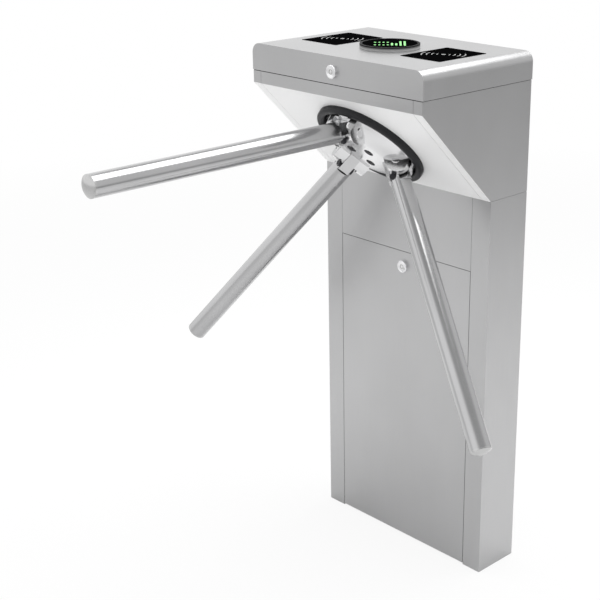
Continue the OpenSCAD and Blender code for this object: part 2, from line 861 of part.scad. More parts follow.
module top_arm_fork() color(bright) arm_frame(0) arm_fork();
module top_arm_tube() color(bright) arm_frame(0) arm_tube();
module top_arm_cap() color(pale) arm_frame(0) arm_cap();
module lower_arm_forks() color(bright) for (i = [1:arm_count - 1]) arm_frame(i) arm_fork();
module lower_arm_tubes() color(bright) for (i = [1:arm_count - 1]) arm_frame(i) arm_tube();
module lower_arm_caps() color(pale) for (i = [1:arm_count - 1]) arm_frame(i) arm_cap();

// Shaft, bearings and wheels

module main_shaft() color(zinc) slant_back() difference() {
    union() {
        translate([0, 0, hub_back]) cylinder(d = flange_d, h = flange_t);
        translate([0, 0, hub_back - spigot_h]) cylinder(d = spigot_d - 2 * run_fit, h = spigot_h);
        translate([0, 0, hub_back])
            cylinder(d = shaft_step_d, h = bearing_1_at - hub_back - part_gap);
        translate([0, 0, hub_back]) cylinder(d = shaft_d, h = nut_at - hub_back);
        translate([0, 0, nut_at]) cylinder(d = thread_d, h = shaft_end - nut_at);
    }
    for (i = [0:arm_count - 1]) rotate([0, 0, (i + 1 / 2) * arm_step])
        translate([0, -hub_screw_r, hub_back - spigot_h - cut])
            cylinder(d = hub_screw_d + 2 * run_fit, h = flange_t + spigot_h + 2 * cut);
}

module shaft_nut() color(zinc) slant_back(nut_at) difference() {
    cylinder(d = nut_d, h = nut_t, $fn = 6);
    translate([0, 0, -cut]) cylinder(d = thread_d + 2 * run_fit, h = nut_t + 2 * cut);
}

module bearing_housing() color(zinc) slant_back(housing_at) difference() {
    union() {
        cylinder(d = housing_spigot_d - 2 * run_fit, h = housing_len);
        translate([0, 0, plate_at + plate_t - housing_at])
            cylinder(d = housing_flange_d, h = housing_flange_t);
        translate([0, 0, plate_at + plate_t - housing_at])
            cylinder(d = housing_d, h = housing_len - plate_at - plate_t + housing_at);
    }
    translate([0, 0, -cut]) cylinder(d = bearing_bore_d, h = housing_len + 2 * cut);
    for (z = [bearing_1_at, bearing_2_at]) translate([0, 0, z - housing_at])
        cylinder(d = bearing_d, h = bearing_w + (z == bearing_2_at ? cut : 0));
    translate([0, 0, -cut]) cylinder(d = bearing_d, h = bearing_1_at - housing_at + 2 * cut);
    housing_screw_places() translate([0, 0, -cut]) cylinder(d = frame_screw_d + 2 * run_fit,
        h = housing_len);
}

module housing_screw_places() for (i = [0:housing_screws_n - 1])
    rotate([0, 0, i * 360 / housing_screws_n]) translate([housing_screw_r, 0, 0]) children();

// Ball bearing: two rings and the balls between them
module ball_bearing() {
    mid = (bearing_d + shaft_d) / 2;
    difference() {
        union() {
            tube(bearing_d, bearing_d - 2 * race_t, bearing_w);
            tube(shaft_d + 2 * race_t, shaft_d + 2 * run_fit, bearing_w);
        }
        translate([0, 0, bearing_w / 2]) rotate_extrude()
            translate([mid / 2, 0]) circle(d = ball_d + 2 * run_fit);
    }
    for (i = [0:ball_count - 1]) rotate([0, 0, i * 360 / ball_count])
        translate([mid / 2, 0, bearing_w / 2]) sphere(d = ball_d, $fn = 24);
}

module shaft_bearings() color(bright) for (z = [bearing_1_at, bearing_2_at])
    slant_back(z) ball_bearing();

module lock_wheel() color(zinc) slant_back(lock_at) difference() {
    union() {
        cylinder(r = lock_r, h = lock_t);
        translate([0, 0, housing_at + housing_len + part_gap - lock_at])
            cylinder(d = shaft_step_d, h = lock_t);
        cylinder(d = boss_d, h = gear_at - lock_at);
    }
    translate([0, 0, -lock_at]) cylinder(d = shaft_d + 2 * run_fit, h = shaft_end);
    for (i = [0:lock_notches - 1]) rotate([0, 0, i * 360 / lock_notches])
        translate([lock_r - notch_deep, -notch_w / 2, -cut])
            cube([notch_deep + cut, notch_w, lock_t + 2 * cut]);
    for (i = [0:lock_notches / 2 - 1]) rotate([0, 0, (i + 1 / 4) * 720 / lock_notches])
        translate([wheel_hole_r, 0, -cut]) cylinder(d = wheel_hole_d / 2, h = lock_t + 2 * cut);
}

function polar(r, a) = [r * cos(a), r * sin(a)];
function involute_turn(a) = tan(a) * 180 / PI - a;

// One flank of an involute tooth, from root to tip, as radius and half angle
function flank(teeth) = let (
        r = gear_module * teeth / 2,
        base = r * cos(pressure_angle),
        tip = r + tip_share * gear_module,
        half = 90 / teeth - tooth_backlash / r * 90 / PI + involute_turn(pressure_angle))
    concat([[r - root_share * gear_module, half]],
        [for (i = [0:flank_steps]) let (at = base + (tip - base) * i / flank_steps)
            [at, half - involute_turn(acos(base / at))]]);

module gear_outline(teeth) polygon([for (i = [0:teeth - 1]) let (side = flank(teeth))
    each concat([for (p = side) polar(p[0], i * 360 / teeth - p[1])],
        [for (p = reversed(side)) polar(p[0], i * 360 / teeth + p[1])])]);

module drive_gear() color(brass) slant_back(gear_at) difference() {
    union() {
        rotate([0, 0, 90]) linear_extrude(gear_w) gear_outline(gear_teeth);
        cylinder(d = boss_d, h = disc_at - gear_at);
    }
    translate([0, 0, -cut]) cylinder(d = shaft_d + 2 * run_fit, h = gear_w + 2 * cut + disc_at);
    for (i = [0:lock_notches / 2 - 1]) rotate([0, 0, i * 720 / lock_notches])
        translate([wheel_hole_r, 0, -cut]) cylinder(d = wheel_hole_d, h = gear_w + 2 * cut);
}

module motor_pinion() color(zinc) slant_back(gear_at) translate([0, gear_centres, 0]) {
    rotate([0, 0, -90 + 180 / pinion_teeth]) linear_extrude(gear_w) gear_outline(pinion_teeth);
    cylinder(d = pinion_shaft_d, h = rear_at + rear_t + motor_flange_t - gear_at);
}

module encoder_disc() color(black) slant_back(disc_at) difference() {
    cylinder(d = disc_d, h = disc_t);
    translate([0, 0, -cut]) cylinder(d = shaft_d + 2 * run_fit, h = disc_t + 2 * cut);
    for (i = [0:window_count - 1]) rotate([0, 0, i * 360 / window_count])
        translate([disc_d / 2 - window_edge - window_len, -window_w / 2, -cut])
            cube([window_len, window_w, disc_t + 2 * cut]);
}

// Mechanism frame

module mechanism_plate() color(zinc) slant_back(plate_at) difference() {
    span([-plate_half_w, plate_half_w], [-plate_half_l, plate_half_l], [0, plate_t]);
    translate([0, 0, -cut]) cylinder(d = housing_spigot_d, h = plate_t + 2 * cut);
    housing_screw_places() translate([0, 0, -cut]) cylinder(d = frame_screw_d + 2 * run_fit,
        h = plate_t + 2 * cut);
    rail_screw_places() translate([0, 0, -cut]) cylinder(d = frame_screw_d + 2 * run_fit,
        h = plate_t + 2 * cut);
}

module rail_screw_places() for (x = [-1, 1], y = [-rail_screw_y, 0, rail_screw_y])
    translate([x * (inner_w - rail_w / 2), y, 0]) children();

// Angle rails on the side panels, which the plate is screwed to
module plate_rails() color(zinc) slant_back(plate_at + plate_t) difference() {
    both_sides() {
        span([inner_w - rail_w, inner_w], [-plate_half_l, plate_half_l], [0, rail_t]);
        span([inner_w - rail_t, inner_w], [-plate_half_l, plate_half_l], [0, rail_leg]);
    }
    rail_screw_places() translate([0, 0, -cut]) cylinder(d = frame_screw_d + 2 * run_fit,
        h = plate_t);
}

module post_places() for (x = [-1, 1], p = [upper_post, lower_post])
    translate([x * p[0], p[1], 0]) children();

// Four spacers between the plates and two stepped posts that carry the pawls
module mechanism_posts() color(zinc) slant_back(plate_at + plate_t) {
    tall = rear_at - plate_at - plate_t;
    post_places() cylinder(d = post_d, h = tall);
    for (x = [-1, 1]) translate([x * pawl_at[0], pawl_at[1], 0]) {
        cylinder(d = pawl_shoulder_d, h = pawl_mid - pawl_t / 2 - part_gap - plate_at - plate_t);
        cylinder(d = pawl_post_d, h = tall);
        translate([0, 0, pawl_mid + pawl_t / 2 + part_gap - plate_at - plate_t])
            cylinder(d = pawl_shoulder_d, h = rear_at - pawl_mid - pawl_t / 2 - part_gap);
    }
}

module rear_plate() color(zinc) slant_back(rear_at) difference() {
    span([-rear_half_w, rear_half_w], [-rear_up, rear_down], [0, rear_t]);
    translate([0, gear_centres, -cut]) cylinder(d = motor_boss_d + 2 * run_fit,
        h = rear_t + 2 * cut);
}

// Button-headed screws: rotor housing to plate, plate to rails and rear plate to spacers
module mechanism_screws() color(bright) {
    slant_back(plate_at) {
        housing_screw_places() {
            cylinder(d = frame_screw_d, h = plate_t + housing_flange_t);
            translate([0, 0, -frame_screw_head_t + part_gap])
                cylinder(d = frame_screw_head_d, h = frame_screw_head_t - part_gap);
        }
        rail_screw_places() {
            cylinder(d = frame_screw_d, h = plate_t + rail_t);
            translate([0, 0, -frame_screw_head_t])
                cylinder(d = frame_screw_head_d, h = frame_screw_head_t);
        }
    }
    slant_back(rear_at + rear_t) post_places()
        cylinder(d = frame_screw_head_d, h = frame_screw_head_t);
}

module gearmotor() color([0.25, 0.25, 0.27]) slant_back(rear_at + rear_t)
    translate([0, gear_centres, 0]) difference() {
        union() {
            translate([0, 0, -rear_t]) cylinder(d = motor_boss_d, h = rear_t);
            cylinder(d = motor_d, h = motor_len * gearbox_share);
            cylinder(d = motor_d * motor_share, h = motor_len);
        }
        translate([0, 0, -rear_t - cut]) cylinder(d = pinion_shaft_d + 2 * run_fit,
            h = rear_t + motor_flange_t + cut + part_gap);
    }

// Small board with two sensors that look at the encoder disc
module sensor_board() color(board_green) {
    top_at = disc_at + disc_t + sensor_gap;
    slant_back(top_at + sensor_h) {
        translate([board_x - board_w / 2, -board_l / 2, 0]) difference() {
            cube([board_w, board_l, board_t]);
            translate([board_w / 2 - board_x, board_l / 2, -cut])
                cylinder(d = nut_d + 2 * board_t, h = board_t + 2 * cut);
        }
        for (y = [-1, 1]) translate([board_x - board_w / 2 + board_post_d / 2 + board_t,
                y * (board_l - board_post_d) / 2, board_t])
            cylinder(d = board_post_d, h = rear_at - top_at - sensor_h - board_t);
    }
    for (y = [-1, 1]) slant_back(top_at)
        translate([sensor_x - sensor_w / 2, y * sensor_w - sensor_w / 2, 0])
            cube([sensor_w, sensor_w - part_gap, sensor_h + board_t / 2]);
}

// Pawls and solenoids, drawn for the right-hand side

module pawl_outline() {
    difference() {
        union() {
            circle(r = pawl_boss_r);
            translate([0, -pawl_bar_w / 2]) square([tail_len + tail_end, pawl_bar_w]);
            translate([pawl_arm_x, -pawl_at[1] - pawl_over])
                square([pawl_bar_w, pawl_at[1] + pawl_over]);
            translate([lock_r + pawl_gap - pawl_at[0], -pawl_at[1] - nose_w / 2])
                square([pawl_arm_x - lock_r - pawl_gap + pawl_at[0] + cut, nose_w]);
        }
        circle(d = pawl_post_d + 2 * run_fit);
        translate([tail_len - link_slot / 2, 0]) circle(d = link_pin_d + 2 * part_gap);
        translate([tail_len + link_slot / 2, 0]) circle(d = link_pin_d + 2 * part_gap);
        translate([tail_len - link_slot / 2, -link_pin_d / 2 - part_gap])
            square([link_slot, link_pin_d + 2 * part_gap]);
    }
}

module lock_pawl() slant_back(pawl_mid - pawl_t / 2) translate([pawl_at[0], pawl_at[1], 0])
    linear_extrude(pawl_t) pawl_outline();

// Plunger rod whose forked end carries the pin in the pawl's slot
module solenoid_plunger() slant_back(pawl_mid) translate([solenoid_x, pawl_at[1], 0]) {
    top = solenoid_y - plunger_in - pawl_at[1];
    neck = -pawl_bar_w / 2 - link_pin_d - link_t;
    translate([0, top, 0]) rotate([-90, 0, 0]) cylinder(d = plunger_d, h = neck - top);
    for (z = [-1, 1]) translate([-link_w / 2, neck - link_t,
            z * (pawl_t / 2 + part_gap + link_t / 2) - link_t / 2])
        cube([link_w, link_len - neck + link_t - link_len / 2, link_t]);
    translate([-link_w / 2, neck - link_t, -pawl_t / 2 - part_gap])
        cube([link_w, link_t, pawl_t + 2 * part_gap]);
    translate([0, 0, -pawl_t / 2 - part_gap]) cylinder(d = link_pin_d, h = pawl_t + 2 * part_gap);
}

// Open frame with a wound coil in it, bored for the plunger
module solenoid() slant_back(pawl_mid) translate([solenoid_x, solenoid_y, 0]) {
    half = solenoid_w / 2;
    difference() {
        union() {
            span([-half, half], [-solenoid_l, 0], [-half, -half + solenoid_wall]);
            span([-half, half], [-solenoid_l, -solenoid_l + solenoid_wall], [-half, half]);
            span([-half, half], [-solenoid_wall, 0], [-half, half]);
            translate([0, -solenoid_l, 0]) rotate([-90, 0, 0]) cylinder(d = coil_d, h = solenoid_l);
        }
        translate([0, solenoid_wall - solenoid_l, 0]) rotate([-90, 0, 0])
            cylinder(d = plunger_d + 2 * run_fit, h = solenoid_l - solenoid_wall + cut);
    }
}

// Channel that stands the solenoid off the plate
module solenoid_bracket() {
    tall = pawl_mid - solenoid_w / 2 - plate_at - plate_t;
    slant_back(plate_at + plate_t) translate([solenoid_x, solenoid_y, 0]) {
        for (x = [-solenoid_w / 2, solenoid_w / 2 - bracket_t])
            span([x, x + bracket_t], [-solenoid_l, 0], [0, tall]);
        span([-solenoid_w / 2, solenoid_w / 2], [-solenoid_l, 0], [tall - bracket_t, tall]);
    }
}

module lock_pawl_right() color(brass) lock_pawl();
module lock_pawl_left() color(brass) mirror([1, 0, 0]) lock_pawl();
module solenoid_plunger_right() color(bright) solenoid_plunger();
module solenoid_plunger_left() color(bright) mirror([1, 0, 0]) solenoid_plunger();
module solenoids() color([0.35, 0.3, 0.2]) both_sides() solenoid();
module solenoid_brackets() color(zinc) both_sides() solenoid_bracket();

// Equipment in the pedestal

carrier_y = back_y - sheet - carrier_gap;

module equipment_carrier() color(zinc) {
    span([-carrier_w / 2, carrier_w / 2], [carrier_y - sheet, carrier_y],
        [carrier_z, carrier_z + carrier_h]);
    both_sides() span([carrier_w / 2 - return_d, carrier_w / 2], [carrier_y, carrier_y + carrier_gap],
        [carrier_z, carrier_z + carrier_h]);
}

// Perforated metal case with its terminal strip
module power_supply() color([0.7, 0.7, 0.7]) {
    y = carrier_y - sheet;
    difference() {
        span([-supply_size[0] / 2, supply_size[0] / 2], [y - supply_size[1], y],
            [supply_z, supply_z + supply_size[2]]);
        for (i = [-4:4], k = [-2:2]) translate([i * relay_size[0], y - supply_size[1] - cut,
                supply_z + supply_size[2] / 2 + k * relay_size[0]]) rotate([-90, 0, 0])
            cylinder(d = chip_size[1], h = 2 * cut);
    }
}

module control_board() color(board_green) {
    y = carrier_y - sheet - board_stand;
    x = board_size[0] / 2;
    span([-x, x], [y - board_size[1], y], [board_z, board_z + board_size[2]]);
    for (sx = [-1, 1], z = [board_stand, board_size[2] - board_stand])
        translate([sx * (x - board_stand), y, board_z + z]) rotate([-90, 0, 0])
            cylinder(d = board_stand, h = board_stand);
    for (i = [0:relay_count - 1])
        translate([i * relay_pitch - x + board_stand, y - board_size[1] - relay_size[1],
            board_z + board_size[2] - relay_size[2] - 2 * board_stand])
            cube(relay_size);
    for (i = [0:1]) translate([(2 * i - 1) * chip_size[0], y - board_size[1] - chip_size[1],
        board_z + 3 * board_stand]) cube(chip_size);
}

module terminal_rail() color([0.75, 0.75, 0.72]) {
    y = carrier_y - sheet;
    span([-rail_size[0] / 2, rail_size[0] / 2], [y - rail_size[1], y], [rail_z, rail_z + rail_size[2]]);
    for (i = [0:terminal_count - 1])
        translate([(i - terminal_count / 2) * terminal_pitch, y - rail_size[1] - terminal_size[1],
            rail_z + (rail_size[2] - terminal_size[2]) / 2]) cube(terminal_size);
}

module battery() color(black) {
    x = battery_size[0] / 2;
    y = base_front + seam;
    span([battery_x - x, battery_x + x], [y, y + battery_size[1]], [base_t, base_t + battery_size[2]]);
    for (s = [-1, 1]) translate([battery_x + s * battery_post_x - battery_post[0] / 2,
        y + battery_post[1], base_t + battery_size[2]]) cube(battery_post);
}

// Rubber grommet clipped in the floor plate
module cable_grommet() color(black) translate([cable_x, 0, 0]) {
    tube(cable_d + 2 * grommet_lip, cable_d, base_t);
    translate([0, 0, base_t]) tube(cable_d + 4 * grommet_lip, cable_d, grommet_lip_h);
}

base_plate();
pedestal_shell();
front_panel();
head_shell();
slant_panel();
opening_ring();
lid_strike();
hinge_leaves_fixed();
hinge_pins();
door_panel();
door_pivot_pins();
door_lock();
door_lock_cam();
lid_shell();
hinge_leaves_lid();
lid_lock();
lid_lock_cam();
reader_windows();
reader_modules();
indicator_bezel();
indicator_lens();
hub_casting();
hub_screws();
arm_stubs();
stub_bolts();
arm_pivot_pins();
top_arm_fork();
top_arm_tube();
top_arm_cap();
lower_arm_forks();
lower_arm_tubes();
lower_arm_caps();
main_shaft();
shaft_nut();
lock_wheel();
drive_gear();
encoder_disc();
bearing_housing();
shaft_bearings();
mechanism_plate();
plate_rails();
mechanism_posts();
rear_plate();
mechanism_screws();
motor_pinion();
gearmotor();
sensor_board();
lock_pawl_left();
lock_pawl_right();
solenoid_plunger_left();
solenoid_plunger_right();
solenoids();
solenoid_brackets();
equipment_carrier();
power_supply();
control_board();
terminal_rail();
battery();
cable_grommet();
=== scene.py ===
import json
import math
import bmesh
import bpy
from mathutils import Matrix, Vector


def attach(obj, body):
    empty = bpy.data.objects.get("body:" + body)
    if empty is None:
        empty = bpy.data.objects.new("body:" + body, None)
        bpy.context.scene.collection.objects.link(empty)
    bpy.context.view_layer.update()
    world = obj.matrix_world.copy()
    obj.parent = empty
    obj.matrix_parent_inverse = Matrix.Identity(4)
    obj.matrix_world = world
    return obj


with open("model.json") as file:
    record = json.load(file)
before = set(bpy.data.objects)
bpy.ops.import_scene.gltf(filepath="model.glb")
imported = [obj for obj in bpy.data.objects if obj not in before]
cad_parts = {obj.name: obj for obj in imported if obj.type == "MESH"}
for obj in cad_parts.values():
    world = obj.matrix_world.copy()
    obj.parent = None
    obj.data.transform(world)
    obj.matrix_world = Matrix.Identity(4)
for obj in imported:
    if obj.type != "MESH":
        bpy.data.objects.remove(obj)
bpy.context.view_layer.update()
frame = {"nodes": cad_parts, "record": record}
nodes = frame["nodes"]
scene = bpy.context.scene
MM = 0.001

# ---------------------------------------------------------------- camera, fitted to the photo
AZIMUTH, ELEVATION, ROLL = (math.radians(a) for a in (45.273, 19.788, -0.05))
TARGET, DISTANCE = Vector((-0.15120, 0.00360, 0.47976)), 2.60166
# Focal length, image centre and image size in pixels
FOCAL_PX, CENTRE_X, CENTRE_Y, IMAGE_PX = 1276.15, 367.57, 289.61, 600.0
SENSOR_MM = 36
CLIP_NEAR, CLIP_FAR = 0.1, 200


def make_camera():
    back = Vector((math.sin(AZIMUTH) * math.cos(ELEVATION),
                   -math.cos(AZIMUTH) * math.cos(ELEVATION), math.sin(ELEVATION)))
    right = Vector((math.cos(AZIMUTH), math.sin(AZIMUTH), 0))
    up = back.cross(right)
    c, s = math.cos(ROLL), math.sin(ROLL)
    right, up = c * right + s * up, c * up - s * right
    data = bpy.data.cameras.new("photo_camera")
    data.sensor_width = SENSOR_MM
    data.lens = FOCAL_PX / IMAGE_PX * SENSOR_MM
    data.shift_x = (IMAGE_PX / 2 - CENTRE_X) / IMAGE_PX
    data.shift_y = (CENTRE_Y - IMAGE_PX / 2) / IMAGE_PX
    data.clip_start, data.clip_end = CLIP_NEAR, CLIP_FAR
    cam = bpy.data.objects.new("photo_camera", data)
    cam.matrix_world = Matrix((right, up, back)).transposed().to_4x4()
    cam.location = TARGET + back * DISTANCE
    scene.collection.objects.link(cam)
    scene.camera = cam


make_camera()
scene.view_settings.view_transform = "Standard"


# ---------------------------------------------------------------- shader nodes
def feed(tree, value, socket):
    """Link a socket to another one, or set it to a number or a colour."""
    if isinstance(value, bpy.types.NodeSocket):
        tree.links.new(value, socket)
    else:
        socket.default_value = (*value, 1) if isinstance(value, tuple) else value


def coordinates(tree, kind):
    return tree.nodes.new("ShaderNodeTexCoord").outputs[kind]


def noise(tree, scale, detail, stretch=(1, 1, 1)):
    mapping = tree.nodes.new("ShaderNodeMapping")
    mapping.inputs["Scale"].default_value = stretch
    tex = tree.nodes.new("ShaderNodeTexNoise")
    tex.inputs["Scale"].default_value = scale
    tex.inputs["Detail"].default_value = detail
    tree.links.new(coordinates(tree, "Object"), mapping.inputs["Vector"])
    tree.links.new(mapping.outputs["Vector"], tex.inputs["Vector"])
    return tex.outputs["Fac"]


def mapped(tree, value, source, target, smooth=False):
    """A value carried from one range to another and held at its ends."""
    n = tree.nodes.new("ShaderNodeMapRange")
    n.interpolation_type = "SMOOTHSTEP" if smooth else "LINEAR"
    for socket, number in zip(("From Min", "From Max", "To Min", "To Max"), (*source, *target)):
        n.inputs[socket].default_value = number
    tree.links.new(value, n.inputs["Value"])
    return n.outputs["Result"]


# Noise keeps to the middle of its range
NOISE_ENDS = (0.3, 0.7)


def mix_color(tree, share, a, b):
    n = tree.nodes.new("ShaderNodeMix")
    n.data_type = "RGBA"
    for value, name in ((share, "Factor"), (a, "A"), (b, "B")):
        feed(tree, value, n.inputs[name])
    return n.outputs["Result"]


def uneven(tree, value, color, darker, lighter):
    """The colour, darkened and lightened by the given factors as a noise goes."""
    ends = (tuple(min(1.0, c * k) for c in color) for k in (darker, lighter))
    return mix_color(tree, mapped(tree, value, NOISE_ENDS, (0, 1)), *ends)


def bump(tree, height, bsdf, strength, depth):
    n = tree.nodes.new("ShaderNodeBump")
    n.inputs["Strength"].default_value = strength
    n.inputs["Distance"].default_value = depth
    tree.links.new(height, n.inputs["Height"])
    tree.links.new(n.outputs["Normal"], bsdf.inputs["Normal"])


def along_z(tree, vector, source):
    """Zero to one as a vector's Z goes through a range."""
    split = tree.nodes.new("ShaderNodeSeparateXYZ")
    tree.links.new(vector, split.inputs[0])
    return mapped(tree, split.outputs["Z"], source, (0, 1))


def math_node(tree, operation, a, b):
    n = tree.nodes.new("ShaderNodeMath")
    n.operation = operation
    for value, socket in zip((a, b), n.inputs):
        feed(tree, value, socket)
    return n.outputs[0]


def vector_math(tree, operation, vector, other=(0, 0, 0)):
    n = tree.nodes.new("ShaderNodeVectorMath")
    n.operation = operation
    tree.links.new(vector, n.inputs[0])
    n.inputs[1].default_value = other
    return n.outputs["Value"]


def distance(tree, place):
    return vector_math(tree, "LENGTH", place)


def towards(tree, vector, direction, span):
    """A share that grows as a place or a ray lies further in a given direction."""
    reach = vector_math(tree, "DOT_PRODUCT", vector, direction)
    return mapped(tree, reach, span, (0, 1), smooth=True)


# ---------------------------------------------------------------- materials
METAL_DETAIL, METAL_BUMP = 2.0, 0.35
METAL_TONE_SCALE, METAL_TONE_STRETCH = 7.0, (1, 1, 0.6)
PLASTIC_GRAIN_DETAIL, PLASTIC_TONE_DETAIL, PLASTIC_BUMP = 4.0, 3.0, 0.3
PLASTIC_TONE_SCALE = 12.0
PLASTIC_SMOOTHER, PLASTIC_ROUGHER = 0.04, 0.05


def material(name, color, metallic, rough, **sockets):
    m = bpy.data.materials.new(name)
    m.use_nodes = True
    b = m.node_tree.nodes["Principled BSDF"]
    b.inputs["Base Color"].default_value = (*color, 1)
    b.inputs["Metallic"].default_value = metallic
    b.inputs["Roughness"].default_value = rough
    for socket, value in sockets.items():
        b.inputs[socket].default_value = value
    return m, m.node_tree, b


def metal(name, color, rough, grain=(1, 1, 1), grain_scale=900, vary=0.06, spread=0.06,
          height=0.00001, **sockets):
    """Metal with a fine grain, which can be drawn out along one axis, and a slow change of tone."""
    m, t, b = material(name, color, 1.0, rough, **sockets)
    fine = noise(t, grain_scale, METAL_DETAIL, grain)
    slow = noise(t, METAL_TONE_SCALE, METAL_DETAIL, METAL_TONE_STRETCH)
    t.links.new(uneven(t, slow, color, 1 - vary, 1 + vary), b.inputs["Base Color"])
    t.links.new(mapped(t, fine, NOISE_ENDS, (rough - spread, rough + spread)),
                b.inputs["Roughness"])
    bump(t, fine, b, METAL_BUMP, height)
    return m


def plastic(name, color, rough, scale=700, height=0.00002, vary=0.1, metallic=0.0, **sockets):
    """Moulded or painted surface with a fine grain and a slow change of tone and gloss."""
    m, t, b = material(name, color, metallic, rough, **sockets)
    fine = noise(t, scale, PLASTIC_GRAIN_DETAIL)
    slow = noise(t, PLASTIC_TONE_SCALE, PLASTIC_TONE_DETAIL)
    t.links.new(uneven(t, slow, color, 1 - vary, 1 + vary), b.inputs["Base Color"])
    t.links.new(mapped(t, slow, NOISE_ENDS, (rough - PLASTIC_SMOOTHER, rough + PLASTIC_ROUGHER)),
                b.inputs["Roughness"])
    bump(t, fine, b, PLASTIC_BUMP, height)
    return m


STEEL, VERTICAL, ACROSS = (0.505, 0.505, 0.509), (1, 1, 0.012), (0.02, 1, 1)
STEEL_VARY, HEAD_IOR = 0.03, 1.3
# Near-white, hardly metallic colour of slanted faces: a painted reflection of the bright floor
SLANT_PAINTED_WHITE, SLANT_PAINTED_METALLIC = (0.95, 0.95, 0.95), 0.05
# Z of the normal: upright faces lie above this range, and slanted ones below it
SLANT_NORMAL = (-0.3, -0.6)


def steel_with_painted_slant(name, rough):
    """Folded steel sheet: brushed on its upright faces; on the slanted one a painted reflection,
    near-white and hardly metallic, stands in for the bright floor that the steel mirrors there.
    """
    m = metal(name, STEEL, rough, VERTICAL, vary=STEEL_VARY, IOR=HEAD_IOR)
    t = m.node_tree
    b = t.nodes["Principled BSDF"]
    upright = b.inputs["Base Color"].links[0].from_socket
    normal = t.nodes.new("ShaderNodeNewGeometry").outputs["Normal"]
    painted_reflection_share = along_z(t, normal, SLANT_NORMAL)
    t.links.new(mix_color(t, painted_reflection_share, upright, SLANT_PAINTED_WHITE), b.inputs["Base Color"])
    t.links.new(mapped(t, painted_reflection_share, (0, 1), (1, SLANT_PAINTED_METALLIC)), b.inputs["Metallic"])
    return m


# Heights in metres between which the indicator's rim goes from its foot's tone to its top's
BEZEL_HEIGHTS = (1.0002, 1.0052)
BEZEL_FOOT, BEZEL_TOP = (0.46, 0.46, 0.46), (0.012, 0.012, 0.013)


def dark_rim():
    """Black moulding whose side lightens towards the lid that it stands on."""
    m = plastic("indicator_rim", (0.02, 0.02, 0.022), 0.4, IOR=1.08)
    t = m.node_tree
    height = along_z(t, coordinates(t, "Object"), BEZEL_HEIGHTS)
    t.links.new(mix_color(t, height, BEZEL_FOOT, BEZEL_TOP),
                t.nodes["Principled BSDF"].inputs["Base Color"])
    return m


GLOW_ROUGH, GLOW_SCALE, GLOW_DETAIL = 0.35, 260.0, 3.0
GLOW_DARKER, GLOW_LIGHTER = 0.75, 1.2


def lit(name, color, strength):
    """Diffused light behind a moulded window, a little uneven."""
    m, t, b = material(name, color, 0.0, GLOW_ROUGH)
    glow = uneven(t, noise(t, GLOW_SCALE, GLOW_DETAIL), color, GLOW_DARKER, GLOW_LIGHTER)
    t.links.new(glow, b.inputs["Base Color"])
    t.links.new(glow, b.inputs["Emission Color"])
    b.inputs["Emission Strength"].default_value = strength
    return m


# By material slot
MATS = {
    "brushed": metal("brushed_steel_body", STEEL, 0.34, VERTICAL, vary=STEEL_VARY),
    "bright_panel": steel_with_painted_slant("steel_slant_panel", 0.36),
    "galvanised": metal("zinc_plated_steel", (0.55, 0.56, 0.57), 0.42, grain_scale=60, vary=0.14),
    "rubber": plastic("black_rubber", (0.016, 0.016, 0.018), 0.5, IOR=1.35),
    "hinge_steel": metal("satin_hinge_steel", (0.55, 0.55, 0.55), 0.3, ACROSS),
    "lock_chrome": metal("lock_chrome", (0.80, 0.80, 0.81), 0.12, spread=0.02),
    "cam_steel": metal("plated_fasteners", (0.55, 0.55, 0.54), 0.28),
    "black_steel": plastic("black_oxide", (0.035, 0.035, 0.04), 0.35, metallic=0.6),
    "reader_glass": plastic("black_glass", (0.0012, 0.0012, 0.0014), 0.2, height=0.000002,
                            IOR=1.002),
    "dark_plastic": plastic("dark_plastic", (0.03, 0.03, 0.033), 0.45),
    "bezel_metal": dark_rim(),
    "hub_chrome": metal("polished_casting", (0.72, 0.72, 0.725), 0.16, grain_scale=300,
                        spread=0.04),
    "arm_steel": metal("polished_tube", (0.49, 0.49, 0.495), 0.2, grain_scale=500, spread=0.03,
                       height=0.000004),
    "cap_steel": metal("satin_cap", (0.52, 0.52, 0.52), 0.24),
    "shaft_steel": metal("ground_steel", (0.55, 0.55, 0.56), 0.22),
    "brass": metal("machined_brass", (0.68, 0.5, 0.22), 0.3),
    "motor_paint": plastic("motor_paint", (0.05, 0.05, 0.055), 0.4),
    "board_green": plastic("solder_mask", (0.02, 0.12, 0.05), 0.35),
    "case_steel": metal("perforated_case", (0.6, 0.6, 0.6), 0.4),
    "terminal_grey": plastic("terminal_grey", (0.4, 0.4, 0.38), 0.5),
}
# By node, where it differs from the rest of its slot
OWN_MATS = {
    "head_shell": steel_with_painted_slant("steel_head", 0.34),
    "arm_stubs": metal("polished_block", (0.56, 0.56, 0.565), 0.2, grain_scale=300, spread=0.04),
}
LED_GREEN = lit("led_green", (0.15, 0.52, 0.13), 0.55)
# Black for the strips in the lid gap and door seams: painted shade in those gaps
GAP_SHADE_BLACK = plastic("painted_gap_shade", (0.008, 0.008, 0.009), 0.8, IOR=1.1)
MARK_GREY = plastic("screened_ink", (0.34, 0.34, 0.34), 0.5, scale=900, height=0.000003, IOR=1.1)

slot_of = {s["node"]: s["material_slot"] for s in frame["record"]["subparts"]}
for name, obj in nodes.items():
    obj.data.materials.clear()
    obj.data.materials.append(OWN_MATS.get(name, MATS[slot_of[name]]))


# ---------------------------------------------------------------- shapes, in millimetres
SHARP_ANGLE = math.radians(38)


